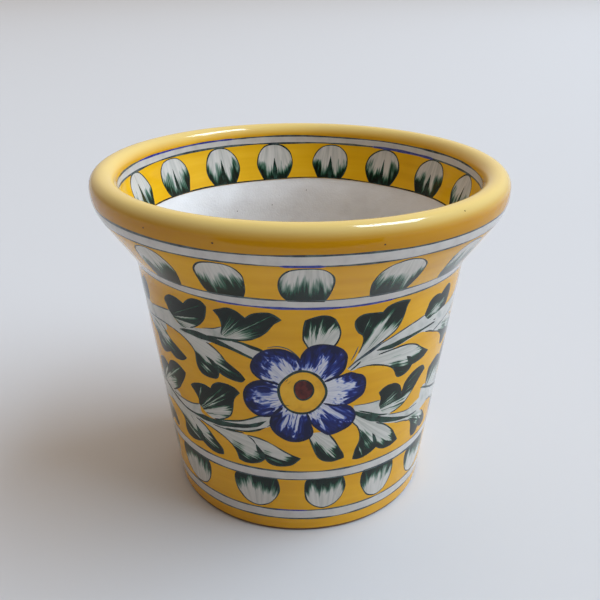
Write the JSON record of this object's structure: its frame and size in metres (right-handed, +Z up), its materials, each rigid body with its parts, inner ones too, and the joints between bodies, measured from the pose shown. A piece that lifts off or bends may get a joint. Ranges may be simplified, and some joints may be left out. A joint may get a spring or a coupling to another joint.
{
  "type": "cachepot",
  "caption": "Round flared cachepot with a tapered wall, a clear neck and a rounded lip, painted and glazed outside, which hides a plain nursery pot.",
  "frame": {"origin": "centre of the foot, on the surface that the pot stands on", "axes": "+Z up along the pot's axis of revolution; -Y faces the viewer, towards the middle of the painted flower"},
  "size_m": [0.127, 0.127, 0.1078],
  "materials": {
    "bare_foot": "matte",
    "white_slip": "matte",
    "painted_glaze": "gloss"
  },
  "bodies": {
    "root": {"foot_ring": "bare_foot", "base_slab": "white_slip", "moulded_wall": "painted_glaze", "flared_collar": "painted_glaze", "rolled_lip": "painted_glaze"}
  },
  "joints": []
}
